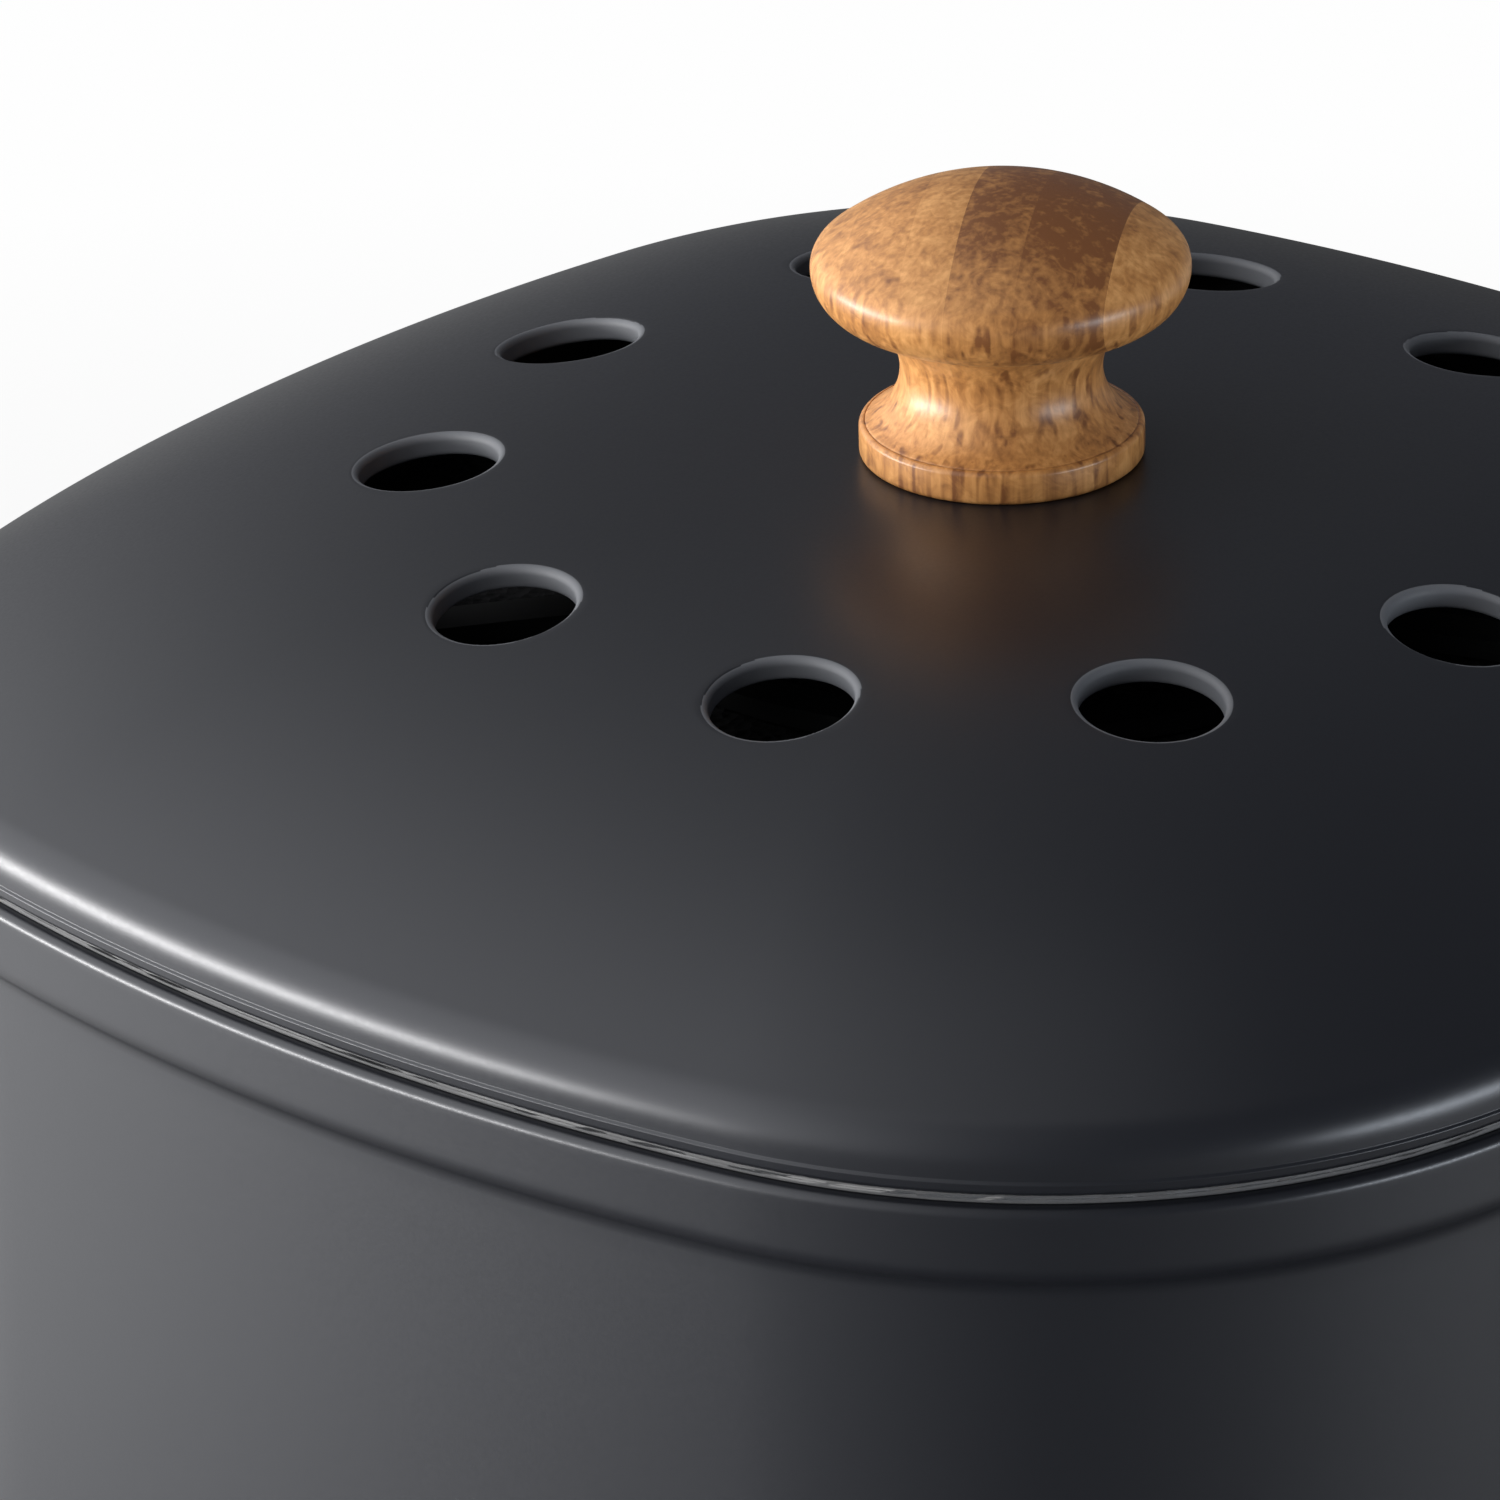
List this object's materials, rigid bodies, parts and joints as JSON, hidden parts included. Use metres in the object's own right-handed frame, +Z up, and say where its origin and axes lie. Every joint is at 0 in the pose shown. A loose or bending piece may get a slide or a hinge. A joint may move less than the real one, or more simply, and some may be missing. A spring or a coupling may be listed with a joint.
{
  "type": "compost bin",
  "caption": "Rounded-square counter-top compost bin with a domed vented lid, a turned bamboo knob, a lift-out bucket with a folding bail and a carbon filter under the lid.",
  "frame": {"origin": "on the floor under the middle of the bin, level with the bottoms of the foot pads", "axes": "+Z up through the knob; +X and +Y leave through the middles of two of the four bowed sides; the bail lies folded towards +X"},
  "size_m": [0.2048, 0.2048, 0.2454],
  "materials": {
    "powder_coat": "satin charcoal-black powder coat",
    "bamboo": "satin lacquered laminated bamboo",
    "bucket_plastic": "fine-grained moulded polypropylene",
    "black_plastic": "fine-grained moulded polypropylene",
    "silicone": "matt silicone",
    "rubber_foot": "matt rubber",
    "steel_wire": "drawn stainless wire",
    "zinc_steel": "zinc-plated",
    "brass_insert": "turned brass",
    "carbon_foam": "open-cell foam loaded with carbon"
  },
  "bodies": {
    "can": {"outer_shell": "powder_coat", "base_plate": "powder_coat", "foot_pad_back_right": "rubber_foot", "foot_pad_back_left": "rubber_foot", "foot_pad_front_left": "rubber_foot", "foot_pad_front_right": "rubber_foot"},
    "bucket": {"inner_bucket": "bucket_plastic"},
    "bail": {"bucket_bail": "steel_wire"},
    "grip": {"bail_grip": "black_plastic"},
    "lid": {"lid_shell": "powder_coat", "lid_ring": "powder_coat", "lid_gasket": "silicone", "knob": "bamboo", "knob_insert": "brass_insert", "knob_screw": "zinc_steel", "plain_washer": "zinc_steel", "spring_washer": "zinc_steel", "filter_holder": "black_plastic", "carbon_filter": "carbon_foam"},
    "cover": {"filter_cover": "black_plastic"}
  },
  "joints": [
    {"name": "bucket_lift", "type": "slide", "parent": "can", "child": "bucket", "axis": [0, 0, 1], "range_m": [0, 0.19]},
    {"name": "lid_lift", "type": "slide", "parent": "bucket", "child": "lid", "axis": [0, 0, 1], "range_m": [0, 0.2]},
    {"name": "bail_swing", "type": "hinge", "parent": "bucket", "child": "bail", "pos_m": [0, 0, 0.1746], "axis": [0, -1, 0], "range_deg": [0, 90]},
    {"name": "grip_spin", "type": "hinge", "parent": "bail", "child": "grip", "pos_m": [0.0861, 0, 0.1746], "axis": [0, 1, 0], "continuous": true},
    {"name": "cover_turn", "type": "hinge", "parent": "lid", "child": "cover", "pos_m": [0, 0, 0.196], "axis": [0, 0, 1], "range_deg": [0, 25]}
  ],
  "couplings": [
    {"joint": "bail_swing", "follows": "lid_lift", "rad_per_m": 7.85}
  ]
}
